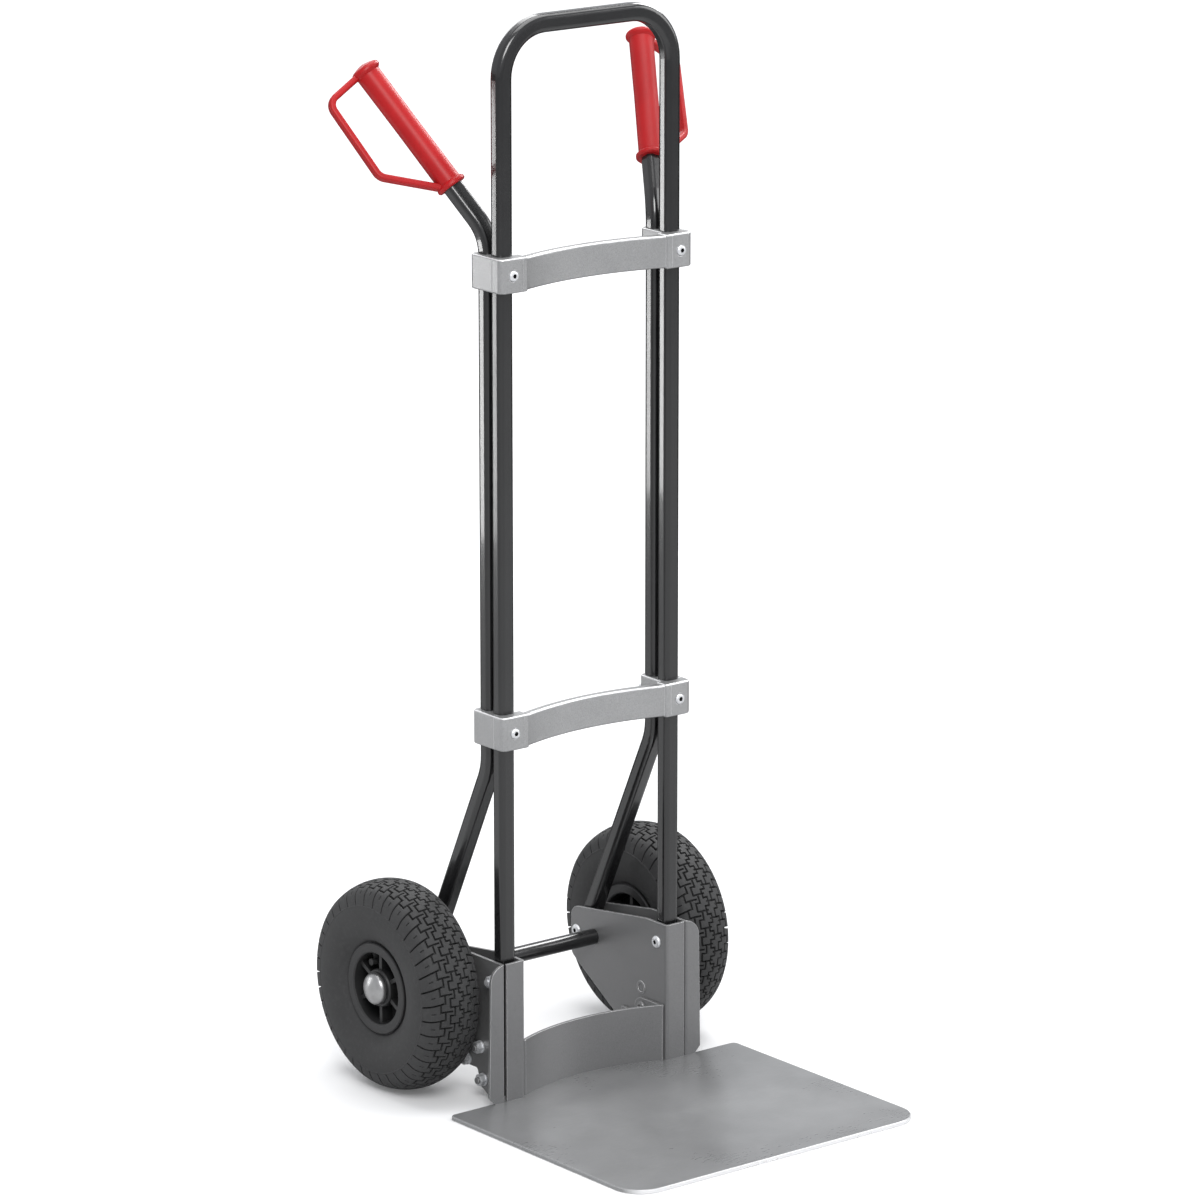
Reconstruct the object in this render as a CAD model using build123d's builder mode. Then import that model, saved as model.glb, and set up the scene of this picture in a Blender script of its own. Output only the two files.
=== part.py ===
from build123d import *
import os

# Two-wheel hand truck: a looped front tube and two rear tubes with guarded grips,
# joined by two cast crossbars, standing on folded side plates, a toe plate and two
# pneumatic wheels. Millimetres, +Z up, +X across, -Y towards the load.
# The origin lies on the floor under the middle of the whole truck.

# ---------------------------------------------------------------- dimensions
Y0 = 44.05            # moves the working datum (side plate fronts near Y=-5) to the origin

tube_x = 126.4        # half spacing of the tubes
tube_w = 22.0         # tube width across the truck
tube_d = 20.0         # tube depth front to back
tube_r = 6.5          # corner radius of the tube section
tube_t = 2.0          # tube wall
loop_top = 1320.0     # top of the front loop
loop_bend = 61.0      # centre line radius of the loop bends
front_y = 14.0 + Y0   # centre of the front tube
rear_y = 39.0 + Y0    # centre of the rear tubes
front_foot = 9.0      # lower end of the front tube

grip_corner_z = 1062.0        # where the rear tube turns up and outwards to the grip
grip_dir = Vector(0.438, 0.70, 1.0).normalized()
guard_lean = Vector(0.894, 0.073, -0.441)
guard_dir = (guard_lean - grip_dir * guard_lean.dot(grip_dir)).normalized()   # square to the grip
grip_start, grip_end = 70.0, 243.0   # grip along its axis from the turn
grip_r = 15.0
flange_r = 18.6
tube_in_grip = 232.0

strut_corner_z = 412.7        # where the rear tube turns back towards the axle
strut_slope = 0.472           # mm back per mm down
strut_end_z = 116.0

clamp_z = (1019.5, 465.3)     # heights of the two crossbars
clamp_h = 41.5                # height of the end blocks
bar_h = 39.5                  # height of the bowed bar
bar_d = 12.0                  # depth of the bowed bar
bow_r = 330.0                 # radius of the bar's front face
bow_y = 10.5 + Y0             # middle of the bar's front face
clamp_front = -9.0 + Y0
clamp_split = 9.0 + Y0        # joint between crossbar end and rear cap
clamp_back = 52.0 + Y0
clamp_out = 145.0             # outer face of the end blocks
clamp_in = 105.0              # step between end block and bar
cap_in = 111.6                # inner face of the rear caps
bolt_r = 4.0
hole_r = 4.1

sheet = 3.5                   # side plate sheet
plate_x = 110.0               # inner face of the inner side plates
plate_y = -5.0 + Y0           # front of the side plates
plate_top = 178.5
strip_out = 137.9             # outer edge of the inner plate's front strip
outer_x = 140.1               # inner face of the outer side plates
flange_x = 161.5              # outer edge of the outer plate's front flange

toe_half = 222.5
toe_back = -1.4 + Y0
toe_front = -356.5 + Y0
toe_t = 5.0
back_top = 76.5
back_bow_r = 262.0
back_bow_y = 21.0 + Y0

axle_y = 138.4 + Y0
axle_z = 130.0
axle_r = 10.0
wheel_x = 195.2
tyre_r = 130.0

screw_front = (14.0 + Y0, 153.7)
screw_rear = (172.4 + Y0, 130.0)
brace_bolts = [(39.8 + Y0, 64.5), (34.0 + Y0, 24.5), (66.0 + Y0, 43.4)]

os.makedirs("parts", exist_ok=True)
pieces = []


def keep(builder, name):
    builder.part.label = name
    export_step(builder.part, "parts/" + name + ".step")
    pieces.append(name)


def flipped(part):
    return part.mirror(Plane.YZ)


# ---------------------------------------------------------------- tubes
with BuildPart() as front_tube:
    with BuildLine() as loop_path:
        FilletPolyline(
            (-tube_x, front_y, front_foot),
            (-tube_x, front_y, loop_top - tube_w / 2),
            (tube_x, front_y, loop_top - tube_w / 2),
            (tube_x, front_y, front_foot),
            radius=loop_bend,
        )
    with BuildSketch(Plane(origin=(-tube_x, front_y, front_foot), x_dir=(1, 0, 0), z_dir=(0, 0, 1))):
        RectangleRounded(tube_w, tube_d, tube_r)
        RectangleRounded(tube_w - 2 * tube_t, tube_d - 2 * tube_t, tube_r - tube_t, mode=Mode.SUBTRACT)
    sweep(path=loop_path.wires()[0])
    # clamp bolt holes, front to back
    for z in clamp_z:
        with BuildSketch(Plane(origin=(0, front_y + 30, z), x_dir=(1, 0, 0), z_dir=(0, -1, 0))):
            with Locations((-tube_x, 0), (tube_x, 0)):
                Circle(hole_r)
        extrude(amount=60, mode=Mode.SUBTRACT)
    # side plate screw holes, side to side
    with BuildSketch(Plane(origin=(-160, screw_front[0], screw_front[1]), x_dir=(0, 1, 0), z_dir=(1, 0, 0))):
        Circle(hole_r)
    extrude(amount=320, mode=Mode.SUBTRACT)
keep(front_tube, "front_tube")

grip_turn = Vector(tube_x, rear_y, grip_corner_z)
strut_turn = Vector(tube_x, rear_y, strut_corner_z)
strut_foot = Vector(tube_x, rear_y + (strut_corner_z - strut_end_z) * strut_slope, strut_end_z)
grip_tip = grip_turn + grip_dir * tube_in_grip

with BuildPart() as rear_tube_right:
    with BuildLine() as rear_path:
        FilletPolyline(strut_foot, strut_turn, grip_turn, grip_tip, radius=[70, 66])
    start = rear_path.line @ 0
    tangent = rear_path.line % 0
    with BuildSketch(Plane(origin=start, x_dir=(1, 0, 0), z_dir=tangent)):
        RectangleRounded(tube_w, tube_d, tube_r)
        RectangleRounded(tube_w - 2 * tube_t, tube_d - 2 * tube_t, tube_r - tube_t, mode=Mode.SUBTRACT)
    sweep(path=rear_path.wires()[0])
    for z in clamp_z:
        with BuildSketch(Plane(origin=(tube_x, rear_y + 30, z), x_dir=(1, 0, 0), z_dir=(0, -1, 0))):
            Circle(hole_r)
        extrude(amount=60, mode=Mode.SUBTRACT)
    with BuildSketch(Plane(origin=(100, screw_rear[0], screw_rear[1]), x_dir=(0, 1, 0), z_dir=(1, 0, 0))):
        Circle(hole_r)
    extrude(amount=60, mode=Mode.SUBTRACT)
keep(rear_tube_right, "rear_tube_right")

with BuildPart() as rear_tube_left:
    add(flipped(rear_tube_right.part))
keep(rear_tube_left, "rear_tube_left")

# ---------------------------------------------------------------- grips
# One moulding each: ribbed sleeve, two flanges and the knuckle guard.
grip_plane = Plane(origin=grip_turn, x_dir=guard_dir, z_dir=grip_dir)
# section of the swept tube where it enters the grip
tube_tip = rear_tube_right.part.faces().filter_by(lambda f: (f.center() - grip_tip).length < 6).sort_by(
    lambda f: (f.center() - grip_tip).length)[0]
tip_edge = tube_tip.outer_wire().edges().filter_by(GeomType.LINE).sort_by(SortBy.LENGTH)[-1]
tip_x = (tip_edge % 0.5)

side_plane = Plane(origin=grip_turn, x_dir=guard_dir, z_dir=guard_dir.cross(grip_dir))
with BuildPart() as grip_right:
    # sleeve, flanges and domed end turned about the grip's axis; local x is outwards, local y along the axis
    with BuildSketch(side_plane) as sleeve_profile:
        with BuildLine():
            Polyline(
                (0, grip_start), (flange_r - 1.6, grip_start), (flange_r, grip_start + 1.6),
                (flange_r, grip_start + 4.4), (flange_r - 1.6, grip_start + 6), (grip_r, grip_start + 7.5),
                (grip_r - 0.4, (grip_start + grip_end) / 2), (grip_r, grip_end - 8.5), (flange_r - 1.4, grip_end - 6.5),
                (flange_r, grip_end - 4.5), (flange_r, grip_end - 2.5),
            )
            Spline((flange_r, grip_end - 2.5), (flange_r * 0.62, grip_end + 2.6), (0, grip_end + 5.0),
                   tangents=[(-0.25, 1), (-1, 0)])
            Line((0, grip_end + 5.0), (0, grip_start))
        make_face()
    revolve(axis=Axis(origin=tuple(grip_turn), direction=tuple(grip_dir)))
    # knuckle guard: flat strip looped from flange to flange
    with BuildLine() as guard_path:
        FilletPolyline(
            side_plane.from_local_coords(Vector(10, grip_start + 3.2)),
            side_plane.from_local_coords(Vector(67.1, grip_start + 58.0)),
            side_plane.from_local_coords(Vector(62.6, grip_end - 10.0)),
            side_plane.from_local_coords(Vector(10, grip_end - 3.8)),
            radius=[15, 14],
        )
    with BuildSketch(Plane(origin=guard_path.line @ 0, x_dir=guard_dir.cross(grip_dir), z_dir=guard_path.line % 0)):
        RectangleRounded(12.4, 7.8, 2.8)
    sweep(path=guard_path.wires()[0])
    # socket for the tube
    with BuildSketch(Plane(origin=grip_turn + grip_dir * (grip_start - 5), x_dir=tip_x, z_dir=grip_dir)):
        RectangleRounded(tube_w + 0.1, tube_d + 0.1, tube_r + 0.05)
    extrude(amount=tube_in_grip + 0.6 - grip_start + 5, mode=Mode.SUBTRACT)
keep(grip_right, "grip_right")
with BuildPart() as grip_left:
    add(flipped(grip_right.part))
keep(grip_left, "grip_left")

# ---------------------------------------------------------------- crossbars and rear caps
def tube_pocket(cx, cy, z, h, clearance=0.05):
    with BuildPart(mode=Mode.PRIVATE) as pocket:
        with BuildSketch(Plane.XY.offset(z - h)):
            with Locations((cx, cy)):
                RectangleRounded(tube_w + 2 * clearance, tube_d + 2 * clearance, tube_r + clearance)
        extrude(amount=2 * h)
    return pocket.part


bar_centre_y = bow_y - bow_r
for level, z in zip(("upper", "lower"), clamp_z):
    # end block, all its outer edges rounded
    with BuildPart() as end_block:
        with BuildSketch(Plane.XY.offset(z - clamp_h / 2)):
            with Locations(((clamp_in + clamp_out) / 2, (clamp_front + clamp_split) / 2)):
                Rectangle(clamp_out - clamp_in, clamp_split - clamp_front)
        extrude(amount=clamp_h)
        fillet(end_block.edges().filter_by(Axis.Z).filter_by(
            lambda e: e.center().X > clamp_out - 1 and e.center().Y < clamp_front + 1), radius=8)
        fillet(end_block.edges().filter_by(Axis.Z).filter_by(
            lambda e: e.center().X < clamp_in + 1 and e.center().Y < clamp_front + 1), radius=2.2)
        fillet(end_block.edges().filter_by(
            lambda e: abs(abs(e.center().Z - z) - clamp_h / 2) < 0.1 and e.center().Y < clamp_split - 0.5), radius=2.0)
    with BuildPart() as crossbar:
        # bowed bar
        with BuildSketch(Plane.XY.offset(z - bar_h / 2)):
            with Locations((0, bar_centre_y)):
                Circle(bow_r + bar_d)
                Circle(bow_r, mode=Mode.SUBTRACT)
            with Locations((0, clamp_front + 60)):
                Rectangle(2 * (clamp_in + 8), 136, mode=Mode.INTERSECT)
        extrude(amount=bar_h)
        fillet(crossbar.edges().filter_by(GeomType.CIRCLE), radius=2.6)
        add(end_block.part)
        add(flipped(end_block.part))
        for s in (-1, 1):
            add(tube_pocket(s * tube_x, front_y, z, clamp_h), mode=Mode.SUBTRACT)
        # bolt holes with a shallow seat for the heads
        with BuildSketch(Plane(origin=(0, clamp_front + 60, z), x_dir=(1, 0, 0), z_dir=(0, -1, 0))):
            with Locations((-tube_x, 0), (tube_x, 0)):
                Circle(hole_r)
        extrude(amount=90, mode=Mode.SUBTRACT)
        with BuildSketch(Plane(origin=(0, clamp_front + 1.0, z), x_dir=(1, 0, 0), z_dir=(0, -1, 0))):
            with Locations((-tube_x, 0), (tube_x, 0)):
                Circle(7.0)
        extrude(amount=20, mode=Mode.SUBTRACT)
    keep(crossbar, level + "_crossbar")

    with BuildPart() as cap_right:
        with BuildSketch(Plane.XY.offset(z - clamp_h / 2)):
            with Locations(((cap_in + clamp_out) / 2, (clamp_split + clamp_back) / 2)):
                Rectangle(clamp_out - cap_in, clamp_back - clamp_split)
        extrude(amount=clamp_h)
        fillet(cap_right.edges().filter_by(Axis.Z).filter_by(
            lambda e: abs(e.center().Y - clamp_back) < 0.1), radius=7)
        fillet(cap_right.faces().sort_by(Axis.Z)[-1].edges().filter_by(
            lambda e: e.center().Y > clamp_split + 0.5), radius=1.6)
        fillet(cap_right.faces().sort_by(Axis.Z)[0].edges().filter_by(
            lambda e: e.center().Y > clamp_split + 0.5), radius=1.6)
        for cy in (front_y, rear_y):
            add(tube_pocket(tube_x, cy, z, clamp_h), mode=Mode.SUBTRACT)
        with BuildSketch(Plane(origin=(tube_x, clamp_back + 30, z), x_dir=(1, 0, 0), z_dir=(0, -1, 0))):
            Circle(hole_r)
        extrude(amount=90, mode=Mode.SUBTRACT)
    keep(cap_right, level + "_clamp_cap_right")
    with BuildPart() as cap_left:
        add(flipped(cap_right.part))
    keep(cap_left, level + "_clamp_cap_left")

# clamp bolts: button heads at the front, nuts behind the caps
bolt_end = 66.0 + Y0
washer_t = 1.6
nut_h = 6.5
with BuildPart() as clamp_bolts:
    for z in clamp_z:
        for s in (-1, 1):
            with BuildSketch(Plane(origin=(s * tube_x, bolt_end, z), x_dir=(1, 0, 0), z_dir=(0, -1, 0))):
                Circle(bolt_r)
            extrude(amount=bolt_end - clamp_front - 1.0)
            with BuildSketch(Plane(origin=(s * tube_x, clamp_front + 1.0, z), x_dir=(1, 0, 0), z_dir=(0, 0, 1))):
                with BuildLine():
                    Polyline((0, 0), (6.5, 0), (6.5, -0.9))
                    ThreePointArc((6.5, -0.9), (5.6, -2.5), (3.8, -3.4))
                    Polyline((3.8, -3.4), (0, -3.4), (0, 0))
                make_face()
            revolve(axis=Axis(origin=(s * tube_x, 0, z), direction=(0, 1, 0)))
            with BuildSketch(Plane(origin=(s * tube_x, clamp_front - 2.4, z), x_dir=(1, 0, 0), z_dir=(0, 1, 0))):
                RegularPolygon(2.9, 6)
            extrude(amount=2.4, mode=Mode.SUBTRACT)
keep(clamp_bolts, "clamp_bolts")

with BuildPart() as clamp_washers:
    for z in clamp_z:
        with BuildSketch(Plane(origin=(0, clamp_back, z), x_dir=(-1, 0, 0), z_dir=(0, 1, 0))):
            with Locations((-tube_x, 0), (tube_x, 0)):
                Circle(8.0)
                Circle(hole_r, mode=Mode.SUBTRACT)
        extrude(amount=washer_t)
keep(clamp_washers, "clamp_washers")

with BuildPart() as clamp_nuts:
    for z in clamp_z:
        with BuildSketch(Plane(origin=(0, clamp_back + washer_t, z), x_dir=(-1, 0, 0), z_dir=(0, 1, 0))):
            with Locations((-tube_x, 0), (tube_x, 0)):
                RegularPolygon(7.5, 6)
                Circle(bolt_r + 0.05, mode=Mode.SUBTRACT)
        extrude(amount=nut_h)
keep(clamp_nuts, "clamp_nuts")

# ---------------------------------------------------------------- side plates
def yz_plane(x):
    # local x runs along world Y, local y along world Z
    return Plane(origin=(x, 0, 0), x_dir=(0, 1, 0), z_dir=(1, 0, 0))


with BuildPart() as inner_plate:
    # web
    with BuildSketch(yz_plane(plate_x)):
        with BuildLine():
            FilletPolyline(
                (plate_y, plate_top), (37 + Y0, plate_top), (183.3 + Y0, 159.7), (183.3 + Y0, 98.5),
                (38 + Y0, toe_t), (plate_y, toe_t), radius=[30, 14, 12, 4],
            )
            Line((plate_y, toe_t), (plate_y, plate_top))
        make_face()
    extrude(amount=sheet)
    # front strip
    with BuildSketch(Plane.XY.offset(toe_t)):
        with Locations(((plate_x + strip_out) / 2, plate_y + sheet / 2)):
            Rectangle(strip_out - plate_x, sheet)
    extrude(amount=plate_top - toe_t)
    fillet(inner_plate.edges().filter_by(Axis.Z).filter_by(
        lambda e: abs(e.center().X - plate_x) < 0.1 and abs(e.center().Y - plate_y) < 0.1), radius=4)
    # inner bend
    inner_bend = inner_plate.edges().filter_by(Axis.Z).filter_by(
        lambda e: abs(e.center().X - plate_x - sheet) < 0.1 and abs(e.center().Y - plate_y - sheet) < 0.1)
    fillet(inner_bend, radius=1.0)
    for y, z, r in [(screw_front[0], screw_front[1], hole_r), (screw_rear[0], screw_rear[1], hole_r),
                    (axle_y, axle_z, axle_r + 0.1)] + [(b[0], b[1], hole_r) for b in brace_bolts]:
        with BuildSketch(Plane(origin=(plate_x - 5, y, z), x_dir=(0, 1, 0), z_dir=(1, 0, 0))):
            Circle(r)
        extrude(amount=sheet + 10, mode=Mode.SUBTRACT)
    # raised ring pressed into the web above the back plate's end flange
    with BuildSketch(Plane(origin=(plate_x, 44.2 + Y0, 87.5), x_dir=(0, 1, 0), z_dir=(-1, 0, 0))):
        Circle(8.0)
        Circle(5.8, mode=Mode.SUBTRACT)
    extrude(amount=0.9)
keep(inner_plate, "inner_side_plate_right")
with BuildPart() as inner_plate_left:
    add(flipped(inner_plate.part))
keep(inner_plate_left, "inner_side_plate_left")

with BuildPart() as outer_plate:
    with BuildSketch(yz_plane(outer_x)):
        with BuildLine():
            FilletPolyline(
                (plate_y, plate_top), (62 + Y0, plate_top), (183.3 + Y0, 159.7), (183.3 + Y0, 102),
                (112 + Y0, 36), (46 + Y0, 36), (40 + Y0, 15), (22 + Y0, toe_t), (plate_y, toe_t),
                radius=[40, 14, 12, 12, 5, 5, 4],
            )
            Line((plate_y, toe_t), (plate_y, plate_top))
        make_face()
    extrude(amount=sheet)
    # front flange, turned outwards, its top corner rounded and its foot cut back
    with BuildSketch(Plane(origin=(0, plate_y, 0), x_dir=(1, 0, 0), z_dir=(0, -1, 0))):
        with BuildLine():
            Polyline((outer_x, plate_top), (outer_x, toe_t), (flange_x - 6, toe_t), (flange_x + 2.6, toe_t + 9),
                     (flange_x, plate_top - 21))
            ThreePointArc((flange_x, plate_top - 21), (flange_x - 21 + 21 * 0.7071, plate_top - 21 + 21 * 0.7071),
                          (flange_x - 21, plate_top))
            Line((flange_x - 21, plate_top), (outer_x, plate_top))
        make_face()
    extrude(amount=-sheet)
    fillet(outer_plate.edges().filter_by(Axis.Z).filter_by(
        lambda e: abs(e.center().X - outer_x) < 0.1 and abs(e.center().Y - plate_y) < 0.1), radius=4)
    for y, z, r in [(screw_front[0], screw_front[1], hole_r), (screw_rear[0], screw_rear[1], hole_r),
                    (axle_y, axle_z, axle_r + 0.1)] + [(b[0], b[1], hole_r) for b in brace_bolts]:
        with BuildSketch(Plane(origin=(outer_x - 5, y, z), x_dir=(0, 1, 0), z_dir=(1, 0, 0))):
            Circle(r)
        extrude(amount=sheet + 10, mode=Mode.SUBTRACT)
keep(outer_plate, "outer_side_plate_right")
with BuildPart() as outer_plate_left:
    add(flipped(outer_plate.part))
keep(outer_plate_left, "outer_side_plate_left")

plate_out = outer_x + sheet
back_end_x = plate_x - 0.2     # ends of the back plate and of the corner braces


def cross_bolt(x_head, x_tip, y, z, head_r, head_h, socket):
    # bolt along X: domed head facing the middle of the truck
    with BuildPart(mode=Mode.PRIVATE) as bolt:
        with BuildSketch(Plane(origin=(x_head, y, z), x_dir=(0, 1, 0), z_dir=(1, 0, 0))):
            Circle(bolt_r)
        extrude(amount=x_tip - x_head)
        with BuildSketch(Plane(origin=(x_head, y, z), x_dir=(1, 0, 0), z_dir=(0, -1, 0))):
            with BuildLine():
                Polyline((0, 0), (0, head_r), (-0.9, head_r))
                ThreePointArc((-0.9, head_r), (-head_h * 0.78, head_r * 0.84), (-head_h, head_r * 0.55))
                Polyline((-head_h, head_r * 0.55), (-head_h, 0), (0, 0))
            make_face()
        revolve(axis=Axis(origin=(x_head, y, z), direction=(1, 0, 0)))
        with BuildSketch(Plane(origin=(x_head - head_h, y, z), x_dir=(0, 1, 0), z_dir=(1, 0, 0))):
            RegularPolygon(socket, 6)
        extrude(amount=2.2, mode=Mode.SUBTRACT)
    return bolt.part


with BuildPart() as plate_screws_half:
    for y, z in (screw_front, screw_rear):
        add(cross_bolt(plate_x, plate_out + 11, y, z, 7.6, 3.6, 2.9))
with BuildPart() as plate_screws:
    add(plate_screws_half.part)
    add(flipped(plate_screws_half.part))
keep(plate_screws, "side_plate_screws")

with BuildPart() as brace_bolts_half:
    for y, z in brace_bolts:
        add(cross_bolt(back_end_x - 3.5, plate_out + 11, y, z, 7.0, 3.4, 2.9))
with BuildPart() as brace_bolt_set:
    add(brace_bolts_half.part)
    add(flipped(brace_bolts_half.part))
keep(brace_bolt_set, "brace_bolts")

all_cross = [screw_front, screw_rear] + brace_bolts
with BuildPart() as plate_washers_half:
    for y, z in all_cross:
        with BuildSketch(Plane(origin=(plate_out, y, z), x_dir=(0, 1, 0), z_dir=(1, 0, 0))):
            Circle(8.0)
            Circle(hole_r, mode=Mode.SUBTRACT)
        extrude(amount=1.6)
with BuildPart() as plate_washers:
    add(plate_washers_half.part)
    add(flipped(plate_washers_half.part))
keep(plate_washers, "side_plate_washers")

with BuildPart() as plate_nuts_half:
    for y, z in all_cross:
        with BuildSketch(Plane(origin=(plate_out + 1.6, y, z), x_dir=(0, 1, 0), z_dir=(1, 0, 0))):
            RegularPolygon(7.5, 6)
            Circle(bolt_r + 0.05, mode=Mode.SUBTRACT)
        extrude(amount=6.5)
with BuildPart() as plate_nuts:
    add(plate_nuts_half.part)
    add(flipped(plate_nuts_half.part))
keep(plate_nuts, "side_plate_nuts")

# sleeves that keep the two side plates apart on the brace bolts
with BuildPart() as spacers_half:
    for y, z in brace_bolts:
        with BuildSketch(Plane(origin=(plate_x + sheet, y, z), x_dir=(0, 1, 0), z_dir=(1, 0, 0))):
            Circle(6.5)
            Circle(hole_r, mode=Mode.SUBTRACT)
        extrude(amount=outer_x - plate_x - sheet)
with BuildPart() as plate_spacers:
    add(spacers_half.part)
    add(flipped(spacers_half.part))
keep(plate_spacers, "side_plate_spacers")

# ---------------------------------------------------------------- toe plate, back plate, braces
with BuildPart() as toe_plate:
    with BuildSketch(Plane.XY) as toe_outline:
        with Locations((0, (toe_back + toe_front) / 2)):
            Rectangle(2 * toe_half, toe_back - toe_front)
        fillet(toe_outline.vertices().group_by(Axis.Y)[0], radius=38)
        fillet(toe_outline.vertices().group_by(Axis.Y)[-1], radius=7)
        # tail that carries the bowed back plate between the side plates
        with BuildSketch(mode=Mode.PRIVATE) as tail:
            with Locations((0, back_bow_y - back_bow_r)):
                Circle(back_bow_r + 4.0)
            with Locations((0, toe_back + 20)):
                Rectangle(2 * (plate_x - 0.2), 60, mode=Mode.INTERSECT)
        add(tail.sketch)
    extrude(amount=toe_t)
    chamfer(toe_plate.faces().sort_by(Axis.Z)[-1].edges().filter_by(
        lambda e: e.center().Y < toe_back - 20 and abs(e.center().X) < toe_half - 1), length=0.8)
keep(toe_plate, "toe_plate")

back_centre = back_bow_y - back_bow_r
with BuildPart() as back_plate:
    with BuildSketch(Plane.XY.offset(toe_t)):
        with Locations((0, back_centre)):
            Circle(back_bow_r + 4)
            Circle(back_bow_r, mode=Mode.SUBTRACT)
        with Locations((0, back_bow_y)):
            Rectangle(2 * (back_end_x - 3.2), 120, mode=Mode.INTERSECT)
    extrude(amount=back_top - toe_t)
    # end flanges along the side plates
    end_y = back_centre + (back_bow_r ** 2 - (back_end_x - 3.2) ** 2) ** 0.5
    with BuildSketch(Plane.XY.offset(toe_t)):
        for s in (-1, 1):
            with Locations((s * (back_end_x - 1.75), (end_y + 52 + Y0) / 2)):
                Rectangle(3.5, 52 + Y0 - end_y)
    extrude(amount=back_top - toe_t - 1.0)
    fillet(back_plate.edges().filter_by(Axis.Z).filter_by(
        lambda e: abs(abs(e.center().X) - back_end_x) < 0.1 and e.center().Y < end_y + 1), radius=2.5)
    fillet(back_plate.edges().filter_by(Axis.X).filter_by(
        lambda e: e.center().Y > 51 + Y0 and e.center().Z > 40), radius=12)
    for y, z in brace_bolts[:2]:
        with BuildSketch(Plane(origin=(-150, y, z), x_dir=(0, 1, 0), z_dir=(1, 0, 0))):
            Circle(hole_r)
        extrude(amount=300, mode=Mode.SUBTRACT)
keep(back_plate, "back_plate")

# diagonal corner braces behind the back plate
brace_top = 55.0
with BuildPart() as brace_right:
    with BuildSketch(Plane.XY.offset(toe_t)):
        with BuildLine() as brace_path:
            FilletPolyline(
                (back_end_x - 1.75, 79 + Y0), (back_end_x - 1.75, 57 + Y0), (75.0, 17.0 + Y0), radius=5,
            )
        trace(line_width=3.0)
    extrude(amount=brace_top - toe_t)
    # its forward end follows the back plate's rear face
    with BuildSketch(Plane.XY):
        with Locations((0, back_centre)):
            Circle(back_bow_r + 4.05)
    extrude(amount=200, mode=Mode.SUBTRACT)
    with BuildSketch(Plane(origin=(plate_x - 20, brace_bolts[2][0], brace_bolts[2][1]), x_dir=(0, 1, 0), z_dir=(1, 0, 0))):
        Circle(hole_r)
    extrude(amount=40, mode=Mode.SUBTRACT)
keep(brace_right, "corner_brace_right")
with BuildPart() as brace_left:
    add(flipped(brace_right.part))
keep(brace_left, "corner_brace_left")

# ---------------------------------------------------------------- axle
axle_end = 229.0
with BuildPart() as axle_shaft:
    with BuildSketch(Plane(origin=(-axle_end, axle_y, axle_z), x_dir=(0, 1, 0), z_dir=(1, 0, 0))):
        Circle(axle_r)
    extrude(amount=2 * axle_end)
    chamfer(axle_shaft.edges().filter_by(GeomType.CIRCLE), length=1.0)
keep(axle_shaft, "axle_shaft")

hub_in = wheel_x - 38.0       # inner end of the wheel hub
hub_out = wheel_x + 29.0      # outer end of the wheel hub


def axle_sleeve(x0, x1, r_out):
    with BuildPart(mode=Mode.PRIVATE) as sleeve:
        with BuildSketch(Plane(origin=(x0, axle_y, axle_z), x_dir=(0, 1, 0), z_dir=(1, 0, 0))):
            Circle(r_out)
            Circle(axle_r + 0.05, mode=Mode.SUBTRACT)
        extrude(amount=x1 - x0)
    return sleeve.part


with BuildPart() as axle_spacers_half:
    add(axle_sleeve(plate_x + sheet, outer_x, 15.0))
with BuildPart() as axle_spacers:
    add(axle_spacers_half.part)
    add(flipped(axle_spacers_half.part))
keep(axle_spacers, "axle_plate_spacers")

with BuildPart() as hub_spacers_half:
    add(axle_sleeve(plate_out, hub_in - 0.4, 14.0))
with BuildPart() as hub_spacers:
    add(hub_spacers_half.part)
    add(flipped(hub_spacers_half.part))
keep(hub_spacers, "axle_hub_spacers")

with BuildPart() as axle_washers_half:
    add(axle_sleeve(hub_out + 0.4, hub_out + 2.4, 17.0))
with BuildPart() as axle_washers:
    add(axle_washers_half.part)
    add(flipped(axle_washers_half.part))
keep(axle_washers, "axle_washers")

# domed push-on caps that hold the wheels on
dome_base = hub_out + 2.4
dome_tip = wheel_x + 44.0
cap_r = 20.0
with BuildPart() as cap_half:
    with BuildSketch(Plane(origin=(0, axle_y, axle_z), x_dir=(1, 0, 0), z_dir=(0, -1, 0))):
        with BuildLine():
            Line((dome_base, 0), (dome_base, cap_r))
            Line((dome_base, cap_r), (dome_base + 2.0, cap_r))
            Spline((dome_base + 2.0, cap_r), (dome_base + 9.2, cap_r * 0.67), (dome_tip, 0), tangents=[(1, -0.15), (0, -1)])
            Line((dome_tip, 0), (dome_base, 0))
        make_face()
    revolve(axis=Axis(origin=(0, axle_y, axle_z), direction=(1, 0, 0)))
    with BuildSketch(Plane(origin=(dome_base - 1, axle_y, axle_z), x_dir=(0, 1, 0), z_dir=(1, 0, 0))):
        Circle(axle_r + 0.05)
    extrude(amount=axle_end - dome_base + 1.2, mode=Mode.SUBTRACT)
keep(cap_half, "axle_cap_right")
with BuildPart() as cap_other:
    add(flipped(cap_half.part))
keep(cap_other, "axle_cap_left")

# ---------------------------------------------------------------- wheels
# Sections are drawn with local x along the axle, measured from the wheel's middle
# plane with the outer side positive, and local y as the radius.
wheel_plane = Plane(origin=(wheel_x, axle_y, axle_z), x_dir=(1, 0, 0), z_dir=(0, -1, 0))
wheel_axis = Axis(origin=(wheel_x, axle_y, axle_z), direction=(1, 0, 0))

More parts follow.
